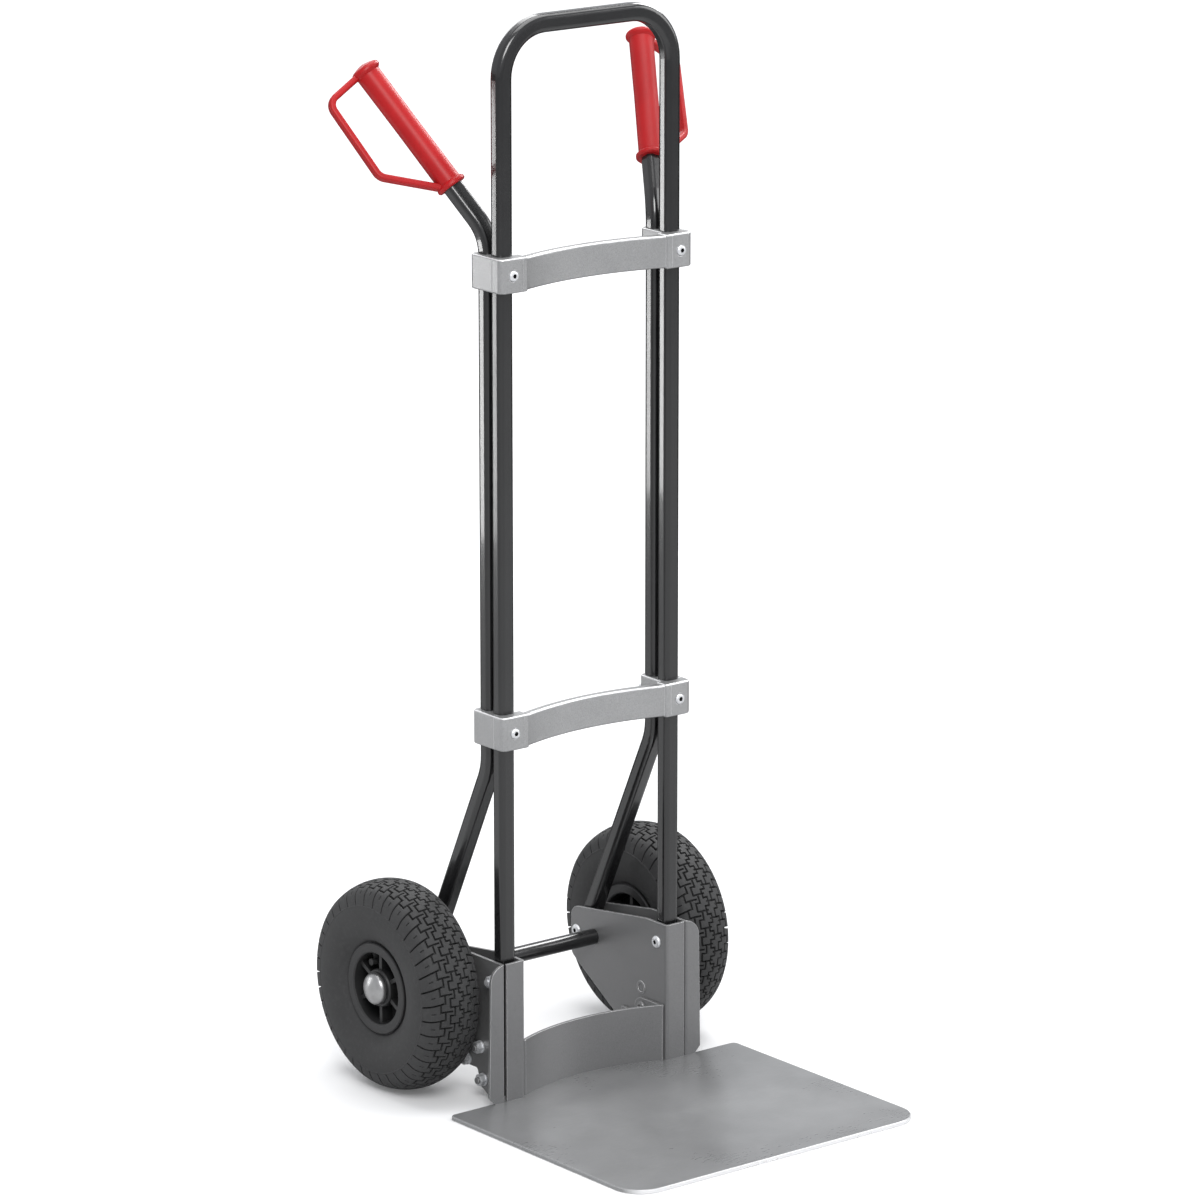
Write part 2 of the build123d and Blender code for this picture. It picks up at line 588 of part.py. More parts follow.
with BuildPart() as tyre:
    with BuildSketch(wheel_plane):
        with BuildLine():
            # outer skin from inner bead to outer bead
            Polyline((-21, 51), (-27.7, 51), (-28.2, 57.4), (-31.5, 60.5))
            ThreePointArc((-31.5, 60.5), (-42, 88), (-39.2, 108))
            ThreePointArc((-39.2, 108), (-36.2, 116.2), (-30, 122.5))
            ThreePointArc((-30, 122.5), (0, tyre_r), (30, 122.5))
            ThreePointArc((30, 122.5), (36.2, 116.2), (39.2, 108))
            ThreePointArc((39.2, 108), (42, 88), (31.5, 60.5))
            Polyline((31.5, 60.5), (28.2, 57.4), (27.7, 51), (21, 51), (23.5, 57))
            # cavity
            ThreePointArc((23.5, 57), (35, 88), (25, 112))
            ThreePointArc((25, 112), (0, 119), (-25, 112))
            ThreePointArc((-25, 112), (-35, 88), (-23.5, 57))
            Line((-23.5, 57), (-21, 51))
        make_face()
    revolve(axis=wheel_axis)
keep(tyre, "tyre_right")

with BuildPart() as inner_tube:
    with BuildSketch(wheel_plane):
        with BuildLine():
            Line((-18, 54), (18, 54))
            ThreePointArc((18, 54), (32, 88), (22.5, 109.6))
            ThreePointArc((22.5, 109.6), (0, 116), (-22.5, 109.6))
            ThreePointArc((-22.5, 109.6), (-32, 88), (-18, 54))
        make_face()
        with BuildLine():
            Line((-14.5, 57.5), (14.5, 57.5))
            ThreePointArc((14.5, 57.5), (28.5, 88), (19.6, 106.6))
            ThreePointArc((19.6, 106.6), (0, 112.5), (-19.6, 106.6))
            ThreePointArc((-19.6, 106.6), (-28.5, 88), (-14.5, 57.5))
        make_face(mode=Mode.SUBTRACT)
    revolve(axis=wheel_axis)
keep(inner_tube, "inner_tube_right")

# outer rim half: flange ring, well, web, hub barrel and ribs
rib_count = 6
rim_screw_r = 36.0
valve_x = wheel_x + 16.0
valve_dir = Vector(0, 0.5, 0.8660254)
valve_plane = Plane(origin=Vector(valve_x, axle_y, axle_z) + valve_dir * 34.0, x_dir=(1, 0, 0), z_dir=valve_dir)
with BuildPart() as rim_outer:
    with BuildSketch(wheel_plane):
        Polygon(
            (0.1, 50.6), (28.0, 50.6), (28.4, 56.5), (31.8, 56.5), (33.0, 55.2), (33.0, 46.0), (31.6, 44.4),
            (9.0, 43.0), (9.0, 24.2), (27.0, 23.4), (29.0, 22.2), (29.0, 15.6), (0.1, 15.6), (0.1, 22.0), (4.0, 22.0),
            (4.0, 44.0), (0.1, 44.0),
            align=None,
        )
    revolve(axis=wheel_axis)
    # ribs between hub and ring
    with BuildSketch(Plane(origin=(wheel_x + 8.0, axle_y, axle_z), x_dir=(0, 1, 0), z_dir=(1, 0, 0))):
        with PolarLocations(0, rib_count, start_angle=30):
            with Locations((33.75, 0)):
                Rectangle(26.5, 5.0)
    extrude(amount=17.0)
    # blind holes for the screws that join the halves
    with BuildSketch(Plane(origin=(wheel_x - 1, axle_y, axle_z), x_dir=(0, 1, 0), z_dir=(1, 0, 0))):
        with PolarLocations(rim_screw_r, 3, start_angle=0):
            Circle(2.55)
    extrude(amount=8, mode=Mode.SUBTRACT)
    # way through the ring for the valve
    with BuildSketch(valve_plane):
        Circle(4.3)
    extrude(amount=40, mode=Mode.SUBTRACT)
keep(rim_outer, "rim_outer_right")

with BuildPart() as rim_inner:
    with BuildSketch(wheel_plane):
        Polygon(
            (-0.1, 50.6), (-28.0, 50.6), (-28.4, 56.5), (-31.8, 56.5), (-33.0, 55.2), (-33.0, 46.0), (-31.6, 44.4),
            (-8.0, 44.0), (-8.0, 22.0), (-36.0, 21.0), (-38.0, 20.0), (-38.0, 15.6), (-0.1, 15.6), (-0.1, 22.0),
            (-0.1, 44.0),
            align=None,
        )
    revolve(axis=wheel_axis)
    with BuildSketch(Plane(origin=(wheel_x - 8.0, axle_y, axle_z), x_dir=(0, 1, 0), z_dir=(1, 0, 0))):
        with PolarLocations(0, rib_count, start_angle=30):
            with Locations((33.75, 0)):
                Rectangle(26.5, 5.0)
    extrude(amount=-17.0)
    with BuildSketch(Plane(origin=(wheel_x - 20, axle_y, axle_z), x_dir=(0, 1, 0), z_dir=(1, 0, 0))):
        with PolarLocations(rim_screw_r, 3, start_angle=0):
            Circle(2.55)
    extrude(amount=25, mode=Mode.SUBTRACT)
keep(rim_inner, "rim_inner_right")

# screws that hold the rim halves together, heads on the inner side
with BuildPart() as rim_screws:
    with BuildSketch(Plane(origin=(wheel_x - 8.0, axle_y, axle_z), x_dir=(0, 1, 0), z_dir=(1, 0, 0))):
        with PolarLocations(rim_screw_r, 3, start_angle=0):
            Circle(2.5)
    extrude(amount=14.6)
    with BuildSketch(Plane(origin=(wheel_x - 8.0, axle_y, axle_z), x_dir=(0, 1, 0), z_dir=(1, 0, 0))):
        with PolarLocations(rim_screw_r, 3, start_angle=0):
            Circle(4.5)
    extrude(amount=-3.5)
keep(rim_screws, "rim_screws_right")

# two sleeve bearings pressed into the hub
with BuildPart() as bearings:
    for x0, x1 in ((hub_in, hub_in + 22), (hub_out - 22, hub_out)):
        with BuildSketch(Plane(origin=(x0, axle_y, axle_z), x_dir=(0, 1, 0), z_dir=(1, 0, 0))):
            Circle(15.6)
            Circle(axle_r + 0.05, mode=Mode.SUBTRACT)
        extrude(amount=x1 - x0)
keep(bearings, "hub_bearings_right")

# rubber valve: foot on the inner tube, stem through the ring, end turned outwards
with BuildPart() as valve:
    with BuildLine() as valve_path:
        FilletPolyline(
            Vector(valve_x, axle_y, axle_z) + valve_dir * 53.9,
            Vector(valve_x, axle_y, axle_z) + valve_dir * 33.0,
            Vector(valve_x + 11.0, axle_y, axle_z) + valve_dir * 33.0,
            radius=5,
        )
    with BuildSketch(Plane(origin=valve_path.line @ 0, x_dir=(1, 0, 0), z_dir=valve_path.line % 0)):
        Circle(4.2)
    sweep(path=valve_path.wires()[0])
keep(valve, "valve_right")

for name, piece in (("tyre", tyre), ("inner_tube", inner_tube), ("rim_outer", rim_outer), ("rim_inner", rim_inner),
                    ("rim_screws", rim_screws), ("hub_bearings", bearings), ("valve", valve)):
    with BuildPart() as other:
        add(flipped(piece.part))
    keep(other, name + "_left")

print(len(pieces), "pieces")
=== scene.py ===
import math

import bpy
import numpy as np
from mathutils import Matrix, Vector


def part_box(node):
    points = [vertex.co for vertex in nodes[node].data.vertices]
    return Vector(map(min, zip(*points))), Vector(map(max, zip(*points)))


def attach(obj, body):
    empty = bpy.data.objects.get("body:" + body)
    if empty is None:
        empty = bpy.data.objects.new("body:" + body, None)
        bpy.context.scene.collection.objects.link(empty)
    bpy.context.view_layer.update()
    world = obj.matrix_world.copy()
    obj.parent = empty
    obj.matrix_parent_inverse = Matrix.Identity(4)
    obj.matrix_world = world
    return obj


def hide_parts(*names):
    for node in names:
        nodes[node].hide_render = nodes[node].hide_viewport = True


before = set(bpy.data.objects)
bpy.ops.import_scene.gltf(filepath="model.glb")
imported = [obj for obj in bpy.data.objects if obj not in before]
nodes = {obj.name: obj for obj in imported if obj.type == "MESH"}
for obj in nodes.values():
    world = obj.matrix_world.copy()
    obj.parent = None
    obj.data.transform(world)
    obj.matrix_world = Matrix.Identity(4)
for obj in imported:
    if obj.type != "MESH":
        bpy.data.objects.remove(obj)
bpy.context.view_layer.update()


# ---------------------------------------------------------------- node helpers
class Graph:
    """One material's node graph, with short calls for the nodes used here."""

    def __init__(self, name):
        self.m = bpy.data.materials.new(name)
        self.m.use_nodes = True
        self.t = self.m.node_tree
        self.t.nodes.clear()
        self.out = self.t.nodes.new("ShaderNodeOutputMaterial")
        self.b = self.t.nodes.new("ShaderNodeBsdfPrincipled")
        self.t.links.new(self.b.outputs[0], self.out.inputs[0])
        self.co = self.t.nodes.new("ShaderNodeTexCoord").outputs["Object"]

    def put(self, socket, value):
        if isinstance(value, bpy.types.NodeSocket):
            self.t.links.new(value, socket)
        else:
            socket.default_value = value

    def set(self, **kw):
        for k, v in kw.items():
            self.put(self.b.inputs[k.replace("_", " ")], v)

    def mapping(self, scale=(1, 1, 1), rot=(0, 0, 0), loc=(0, 0, 0), vec=None):
        n = self.t.nodes.new("ShaderNodeMapping")
        self.put(n.inputs["Vector"], vec or self.co)
        n.inputs["Scale"].default_value = scale
        n.inputs["Rotation"].default_value = rot
        n.inputs["Location"].default_value = loc
        return n.outputs[0]

    def noise(self, scale, detail=2.0, rough=0.5, dist=0.0, vec=None):
        n = self.t.nodes.new("ShaderNodeTexNoise")
        self.put(n.inputs["Vector"], vec or self.co)
        n.inputs["Scale"].default_value = scale
        n.inputs["Detail"].default_value = detail
        n.inputs["Roughness"].default_value = rough
        n.inputs["Distortion"].default_value = dist
        return n.outputs[0]

    def voronoi(self, scale, feature="F1", vec=None, randomness=1.0):
        n = self.t.nodes.new("ShaderNodeTexVoronoi")
        n.feature = feature
        self.put(n.inputs["Vector"], vec or self.co)
        n.inputs["Scale"].default_value = scale
        n.inputs["Randomness"].default_value = randomness
        return n.outputs["Distance"]

    def span(self, v, lo, hi, a=0.0, b=1.0, smooth=False):
        n = self.t.nodes.new("ShaderNodeMapRange")
        n.interpolation_type = "SMOOTHSTEP" if smooth else "LINEAR"
        n.clamp = True
        self.put(n.inputs["Value"], v)
        n.inputs["From Min"].default_value = lo
        n.inputs["From Max"].default_value = hi
        n.inputs["To Min"].default_value = a
        n.inputs["To Max"].default_value = b
        return n.outputs[0]

    def math(self, op, a, b=0.0, c=0.0, clamp=False):
        n = self.t.nodes.new("ShaderNodeMath")
        n.operation = op
        n.use_clamp = clamp
        self.put(n.inputs[0], a)
        self.put(n.inputs[1], b)
        self.put(n.inputs[2], c)
        return n.outputs[0]

    def mix(self, fac, a, b, blend="MIX"):
        n = self.t.nodes.new("ShaderNodeMix")
        n.data_type = "RGBA"
        n.blend_type = blend
        self.put(n.inputs[0], fac)
        for s, v in ((n.inputs[6], a), (n.inputs[7], b)):
            self.put(s, v if isinstance(v, bpy.types.NodeSocket) else (*v, 1.0))
        return n.outputs[2]

    def bump(self, height, strength, distance, normal=None):
        n = self.t.nodes.new("ShaderNodeBump")
        n.inputs["Strength"].default_value = strength
        n.inputs["Distance"].default_value = distance
        self.put(n.inputs["Height"], height)
        if normal is not None:
            self.put(n.inputs["Normal"], normal)
        return n.outputs[0]

    def soft_edges(self, radius, samples=4):
        """Normal rounded over the edges, and a mask that is 1 on the edges."""
        n = self.t.nodes.new("ShaderNodeBevel")
        n.samples = samples
        n.inputs["Radius"].default_value = radius
        g = self.t.nodes.new("ShaderNodeNewGeometry")
        d = self.t.nodes.new("ShaderNodeVectorMath")
        d.operation = "DOT_PRODUCT"
        self.put(d.inputs[0], n.outputs[0])
        self.put(d.inputs[1], g.outputs["Normal"])
        mask = self.span(d.outputs["Value"], 0.985, 0.80)
        return n.outputs[0], mask

    def cavity(self, distance, samples=4, open_at=0.75, shut_at=0.30):
        """1 in narrow recesses, 0 on open faces."""
        n = self.t.nodes.new("ShaderNodeAmbientOcclusion")
        n.samples = samples
        n.only_local = True
        n.inputs["Distance"].default_value = distance
        return self.span(n.outputs["AO"], open_at, shut_at)

    def facing(self, axis, lo, hi):
        """1 where the surface faces along an axis of the object."""
        g = self.t.nodes.new("ShaderNodeNewGeometry")
        d = self.t.nodes.new("ShaderNodeVectorMath")
        d.operation = "DOT_PRODUCT"
        self.put(d.inputs[0], g.outputs["Normal"])
        d.inputs[1].default_value = axis
        return self.span(d.outputs["Value"], lo, hi)


# ---------------------------------------------------------------- materials
def black_powder_coat():
    g = Graph("black_powder_coat")
    fine = g.noise(900, 3, 0.6)
    peel = g.noise(260, 2, 0.5)
    broad = g.noise(14, 3, 0.6)
    scuff = g.noise(34, 5, 0.7, 0.6)
    col = g.mix(g.span(broad, 0.3, 0.7), (0.006, 0.006, 0.0065), (0.010, 0.010, 0.0105))
    col = g.mix(g.span(fine, 0.45, 0.75, 0, 0.5), col, (0.016, 0.016, 0.0165))
    col = g.mix(g.span(scuff, 0.66, 0.80, 0, 0.35), col, (0.035, 0.035, 0.036))
    rough = g.math("ADD", g.span(broad, 0.3, 0.7, 0.19, 0.25), g.span(fine, 0.3, 0.7, -0.02, 0.03))
    n = g.bump(peel, 0.05, 0.0005)
    n = g.bump(fine, 0.06, 0.0002, n)
    g.set(Base_Color=col, Roughness=rough, Normal=n)
    g.set(Metallic=0.0, Specular_IOR_Level=0.62, Coat_Weight=0.45, Coat_Roughness=0.06)
    return g.m


def cast_silver():
    g = Graph("cast_silver")
    grain = g.voronoi(560, "SMOOTH_F1")
    fine = g.noise(820, 3, 0.7)
    broad = g.noise(20, 3, 0.6)
    normal, edge_highlight_and_wear = g.soft_edges(0.0020, 6)
    recess_shade = g.cavity(0.006)
    col = g.mix(g.span(fine, 0.32, 0.68), (0.31, 0.311, 0.313), (0.46, 0.462, 0.465))
    col = g.mix(g.span(broad, 0.35, 0.7, 0, 0.35), col, (0.29, 0.291, 0.293))
    col = g.mix(g.span(grain, 0.30, 0.75, 0, 0.25), col, (0.48, 0.482, 0.485))
    # edges painted near white: a painted highlight along the edges, partly edge wear
    col = g.mix(g.math("MULTIPLY", edge_highlight_and_wear, 0.85), col, (0.90, 0.90, 0.905))
    # faces sloping upwards, the top fillets, painted near white: a painted highlight from the light above
    painted_top_highlight = g.math("MULTIPLY", g.facing((0, 0, 1), 0.20, 0.60), g.facing((0, 0, 1), 0.99, 0.88))
    col = g.mix(g.math("MULTIPLY", painted_top_highlight, 0.9), col, (0.95, 0.95, 0.955))
    # faces turned downwards painted dark: painted shade under the bars
    col = g.mix(g.math("MULTIPLY", g.facing((0, 0, -1), 0.3, 0.8), 0.7), col, (0.05, 0.05, 0.051))
    # recesses painted near black: painted shade
    col = g.mix(g.math("MULTIPLY", recess_shade, 0.75), col, (0.03, 0.03, 0.031))
    rough = g.span(fine, 0.3, 0.7, 0.30, 0.42)
    n = g.bump(grain, 0.20, 0.0006, normal)
    n = g.bump(fine, 0.18, 0.0004, n)
    g.set(Base_Color=col, Roughness=rough, Normal=n)
    g.set(Metallic=0.62, Specular_IOR_Level=0.5)
    return g.m


def grey_plate():
    g = Graph("grey_plate")
    fine = g.noise(1300, 3, 0.65)
    mid = g.noise(240, 3, 0.6)
    broad = g.noise(9, 3, 0.55, 0.4)
    normal, edge_highlight_and_wear = g.soft_edges(0.0010)
    col = g.mix(g.span(fine, 0.3, 0.7), (0.155, 0.155, 0.157), (0.250, 0.250, 0.252))
    col = g.mix(g.span(broad, 0.3, 0.75, 0, 0.5), col, (0.235, 0.235, 0.237))
    col = g.mix(g.span(mid, 0.62, 0.8, 0, 0.35), col, (0.12, 0.12, 0.122))
    # edges painted near white: a painted highlight along the edges, partly edge wear
    col = g.mix(g.math("MULTIPLY", edge_highlight_and_wear, 0.9), col, (0.88, 0.88, 0.885))
    rough = g.math("ADD", g.span(broad, 0.3, 0.7, 0.34, 0.42), g.span(fine, 0.3, 0.7, -0.03, 0.04))
    n = g.bump(fine, 0.20, 0.0003, normal)
    n = g.bump(mid, 0.08, 0.0006, n)
    g.set(Base_Color=col, Roughness=rough, Normal=n)
    g.set(Metallic=0.5, Specular_IOR_Level=0.5)
    return g.m


def toe_steel():
    g = Graph("toe_steel")
    brushed = g.noise(60, 4, 0.6, vec=g.mapping(scale=(1.4, 7, 7)))
    fine = g.noise(900, 3, 0.6)
    cloud = g.noise(5.0, 3, 0.5, 0.5)
    cloud2 = g.noise(24, 4, 0.6, 0.3)
    scratch = g.noise(9, 2, 0.5, vec=g.mapping(scale=(3.0, 40, 10), rot=(0, 0, 0.5)))
    normal, edge_highlight_and_wear = g.soft_edges(0.0012)
    col = g.mix(g.span(cloud, 0.3, 0.72), (0.270, 0.272, 0.275), (0.345, 0.348, 0.352))
    col = g.mix(g.span(cloud2, 0.35, 0.72, 0, 0.35), col, (0.40, 0.403, 0.408))
    col = g.mix(g.span(brushed, 0.35, 0.7, 0, 0.22), col, (0.27, 0.272, 0.275))
    col = g.mix(g.span(scratch, 0.60, 0.80, 0, 0.15), col, (0.45, 0.45, 0.455))
    # edges painted near white: a painted highlight along the edges, partly edge wear
    col = g.mix(g.math("MULTIPLY", edge_highlight_and_wear, 0.95), col, (0.95, 0.95, 0.955))
    # faces turned to the front painted near white: a painted highlight on the plate's front edge
    col = g.mix(g.math("MULTIPLY", g.facing((0, -1, 0), 0.3, 0.8), 0.9), col, (0.95, 0.95, 0.955))
    rough = g.math("ADD", g.span(cloud, 0.3, 0.7, 0.27, 0.34), g.span(brushed, 0.3, 0.7, -0.02, 0.02))
    n = g.bump(brushed, 0.03, 0.0003)
    n = g.bump(fine, 0.03, 0.0002, n)
    g.set(Base_Color=col, Roughness=rough, Normal=n)
    g.set(Metallic=0.6, Specular_IOR_Level=0.5, Anisotropic=0.25)
    return g.m


def rubber(name="tyre_rubber", base=(0.026, 0.026, 0.0265), light=(0.039, 0.039, 0.0395)):
    g = Graph(name)
    fine = g.noise(1500, 3, 0.6)
    mid = g.noise(190, 3, 0.6)
    broad = g.noise(12, 3, 0.6, 0.3)
    normal, edge_highlight_and_wear = g.soft_edges(0.0010)
    col = g.mix(g.span(broad, 0.3, 0.72), base, light)
    col = g.mix(g.span(mid, 0.5, 0.8, 0, 0.35), col, tuple(c * 1.55 for c in light))
    # edges painted lighter: a painted highlight along the edges, partly edge wear
    col = g.mix(g.math("MULTIPLY", edge_highlight_and_wear, 0.35), col, tuple(c * 2.1 for c in light))
    rough = g.math("ADD", g.span(broad, 0.3, 0.7, 0.60, 0.70), g.span(fine, 0.3, 0.7, -0.04, 0.05))
    n = g.bump(fine, 0.14, 0.0003, normal)
    n = g.bump(mid, 0.05, 0.0006, n)
    g.set(Base_Color=col, Roughness=rough, Normal=n)
    g.set(Metallic=0.0, Specular_IOR_Level=0.36, Sheen_Weight=0.03, Sheen_Roughness=0.5)
    return g.m


def rim_plastic():
    g = Graph("rim_plastic")
    fine = g.noise(1200, 3, 0.6)
    broad = g.noise(20, 3, 0.6)
    normal, edge_highlight_and_wear = g.soft_edges(0.0009)
    col = g.mix(g.span(broad, 0.3, 0.7), (0.019, 0.019, 0.0195), (0.029, 0.029, 0.0295))
    # edges painted lighter: a painted highlight along the edges, partly edge wear
    col = g.mix(g.math("MULTIPLY", edge_highlight_and_wear, 0.45), col, (0.10, 0.10, 0.102))
    # recesses painted near black: painted shade in the hollows of the rim
    col = g.mix(g.math("MULTIPLY", g.cavity(0.03), 0.75), col, (0.006, 0.006, 0.006))
    rough = g.math("ADD", g.span(broad, 0.3, 0.7, 0.44, 0.54), g.span(fine, 0.3, 0.7, -0.04, 0.05))
    n = g.bump(fine, 0.16, 0.0003, normal)
    g.set(Base_Color=col, Roughness=rough, Normal=n)
    g.set(Metallic=0.0, Specular_IOR_Level=0.45)
    return g.m


def red_grip():
    g = Graph("red_grip")
    fine = g.noise(1100, 3, 0.6)
    peel = g.noise(170, 2, 0.5)
    broad = g.noise(18, 3, 0.6)
    scuff = g.noise(48, 5, 0.7, 0.5)
    col = g.mix(g.span(broad, 0.3, 0.72), (0.330, 0.004, 0.006), (0.410, 0.006, 0.008))
    col = g.mix(g.span(fine, 0.55, 0.8, 0, 0.35), col, (0.44, 0.010, 0.010))
    col = g.mix(g.span(scuff, 0.62, 0.78, 0, 0.3), col, (0.25, 0.004, 0.005))
    rough = g.math("ADD", g.span(broad, 0.3, 0.7, 0.36, 0.44), g.span(fine, 0.3, 0.7, -0.03, 0.04))
    n = g.bump(peel, 0.03, 0.0004)
    n = g.bump(fine, 0.03, 0.0001, n)
    g.set(Base_Color=col, Roughness=rough, Normal=n)
    g.set(Metallic=0.0, Specular_IOR_Level=0.30, Subsurface_Weight=0.04, Coat_Weight=0.05, Coat_Roughness=0.35)
    g.b.inputs["Subsurface Radius"].default_value = (0.004, 0.001, 0.001)
    return g.m


def zinc():
    g = Graph("zinc_hardware")
    fine = g.noise(1400, 3, 0.6)
    spang = g.voronoi(420)
    broad = g.noise(60, 3, 0.6)
    normal, edge_highlight_and_wear = g.soft_edges(0.0006)
    col = g.mix(g.span(broad, 0.3, 0.7), (0.74, 0.75, 0.77), (0.88, 0.885, 0.90))
    col = g.mix(g.span(spang, 0.1, 0.6, 0, 0.3), col, (0.62, 0.64, 0.66))
    # edges painted near white: a painted highlight along the edges, partly edge wear
    col = g.mix(g.math("MULTIPLY", edge_highlight_and_wear, 0.5), col, (0.9, 0.9, 0.91))
    # recesses such as the hex sockets painted near black: painted shade
    col = g.mix(g.cavity(0.004, 8, 0.88, 0.64), col, (0.010, 0.010, 0.011))
    rough = g.span(fine, 0.3, 0.7, 0.36, 0.48)
    n = g.bump(fine, 0.10, 0.0002, normal)
    g.set(Base_Color=col, Roughness=rough, Normal=n)
    g.set(Metallic=0.7, Specular_IOR_Level=0.5)
    return g.m


def polished_cap():
    g = Graph("polished_cap")
    fine = g.noise(1600, 3, 0.6)
    broad = g.noise(70, 3, 0.6)
    scr = g.noise(40, 4, 0.7, vec=g.mapping(scale=(1, 14, 2)))
    col = g.mix(g.span(broad, 0.3, 0.7), (0.40, 0.40, 0.40), (0.50, 0.50, 0.50))
    col = g.mix(g.span(scr, 0.62, 0.75, 0, 0.3), col, (0.36, 0.36, 0.36))
    rough = g.math("ADD", g.span(broad, 0.3, 0.7, 0.32, 0.38), g.span(fine, 0.3, 0.7, -0.02, 0.03))
    n = g.bump(fine, 0.06, 0.0002)
    g.set(Base_Color=col, Roughness=rough, Normal=n)
    g.set(Metallic=0.92, Specular_IOR_Level=0.5)
    return g.m


def bearing_plastic():
    g = Graph("bearing_plastic")
    fine = g.noise(1300, 3, 0.6)
    broad = g.noise(40, 3, 0.6)
    normal, edge_highlight_and_wear = g.soft_edges(0.0006)
    col = g.mix(g.span(broad, 0.3, 0.7), (0.035, 0.035, 0.037), (0.055, 0.055, 0.058))
    # edges painted lighter: a painted highlight along the edges, partly edge wear
    col = g.mix(g.math("MULTIPLY", edge_highlight_and_wear, 0.4), col, (0.12, 0.12, 0.12))
    rough = g.span(fine, 0.3, 0.7, 0.40, 0.52)
    n = g.bump(fine, 0.1, 0.0002, normal)
    g.set(Base_Color=col, Roughness=rough, Normal=n)
    g.set(Metallic=0.0, Specular_IOR_Level=0.5)
    return g.m


MATS = {
    "black_powder_coat": black_powder_coat(),
    "cast_silver": cast_silver(),
    "grey_plate": grey_plate(),
    "toe_steel": toe_steel(),
    "tyre_rubber": rubber(),
    "tube_rubber": rubber("tube_rubber", (0.014, 0.014, 0.0145), (0.022, 0.022, 0.0225)),
    "rim_plastic": rim_plastic(),
    "red_grip": red_grip(),
    "zinc_hardware": zinc(),
    "polished_cap": polished_cap(),
    "bearing_plastic": bearing_plastic(),
}


def finish_of(n):
    if n.startswith(("front_tube", "rear_tube", "axle_shaft")):
        return "black_powder_coat"
    if n.startswith(("upper_", "lower_")):
        return "cast_silver"
    if n.startswith("grip"):
        return "red_grip"
    if n.startswith(("inner_side_plate", "outer_side_plate", "back_plate", "corner_brace", "brace_bolts")):
        return "grey_plate"
    if n.startswith("toe_plate"):
        return "toe_steel"
    if n.startswith("tyre"):
        return "tyre_rubber"
    if n.startswith(("inner_tube", "valve")):
        return "tube_rubber"
    if n.startswith(("rim_outer", "rim_inner")):
        return "rim_plastic"
    if n.startswith("axle_cap"):
        return "polished_cap"
    if n.startswith(("hub_bearings", "side_plate_spacers", "axle_plate_spacers", "axle_hub_spacers")):
        return "bearing_plastic"
    return "zinc_hardware"


def smooth(o, angle):
    me = o.data
    me.shade_smooth()
    me.set_sharp_from_angle(angle=math.radians(angle))


for name, o in nodes.items():
    o.data.materials.clear()
    o.data.materials.append(MATS[finish_of(name)])


# ---------------------------------------------------------------- tyres with tread
MM = 0.001
PITCHES = 38
CIRC = 2 * math.pi * 130.0
PITCH = CIRC / PITCHES            # length of one tread pitch at the crown, mm
HW, E = 0.85, 0.45                # half width of a groove and width of its wall, mm
STEP = 3.0                        # how far the zigzag grooves step sideways, mm
LINES = ((0.0, 0.0), (12.6, 0.25), (25.0, 0.5))   # (distance from the centre, phase) of the zigzag grooves


def arc3(p0, p1, p2, n):
    (ax, ay), (bx, by), (cx, cy) = p0, p1, p2
    d = 2 * (ax * (by - cy) + bx * (cy - ay) + cx * (ay - by))
    ux = ((ax**2 + ay**2) * (by - cy) + (bx**2 + by**2) * (cy - ay) + (cx**2 + cy**2) * (ay - by)) / d
    uy = ((ax**2 + ay**2) * (cx - bx) + (bx**2 + by**2) * (ax - cx) + (cx**2 + cy**2) * (bx - ax)) / d
    r = math.hypot(ax - ux, ay - uy)
    a0, a1, a2 = (math.atan2(y - uy, x - ux) for x, y in (p0, p1, p2))
    turn = (a2 - a0) % (2 * math.pi)
    mid = (a1 - a0) % (2 * math.pi)
    if mid > turn:
        turn -= 2 * math.pi
    return [(ux + r * math.cos(a0 + turn * i / n), uy + r * math.sin(a0 + turn * i / n)) for i in range(n + 1)]


# outer half profile from the crown's middle down to the bead, as (axial, radius) in mm
crown = arc3((-30, 122.5), (0, 130), (30, 122.5), 80)[40:]
half = crown + arc3((30, 122.5), (36.2, 116.2), (39.2, 108), 16)[1:] + arc3((39.2, 108), (42, 88), (31.5, 60.5), 60)[1:]
half = np.array(half)
run = np.concatenate([[0], np.cumsum(np.hypot(*np.diff(half, axis=0).T))])
S_END = run[-1]


def at(s):
    """Point and outward normal of the outer profile at signed distance s from the crown's middle."""
    a, sg = abs(s), (1 if s >= 0 else -1)
    x, r = np.interp(a, run, half[:, 0]), np.interp(a, run, half[:, 1])
    e = 0.6
    x0, r0 = np.interp(max(a - e, 0), run, half[:, 0]), np.interp(max(a - e, 0), run, half[:, 1])
    x1, r1 = np.interp(min(a + e, S_END), run, half[:, 0]), np.interp(min(a + e, S_END), run, half[:, 1])
    tx, tr = x1 - x0, r1 - r0
    L = math.hypot(tx, tr)
    nx, nr = -tr / L, tx / L
    return sg * x, r, sg * nx, nr


S_LUG = float(np.interp(-104.5, -half[::1, 1], run))   # where the lugs end on the side wall


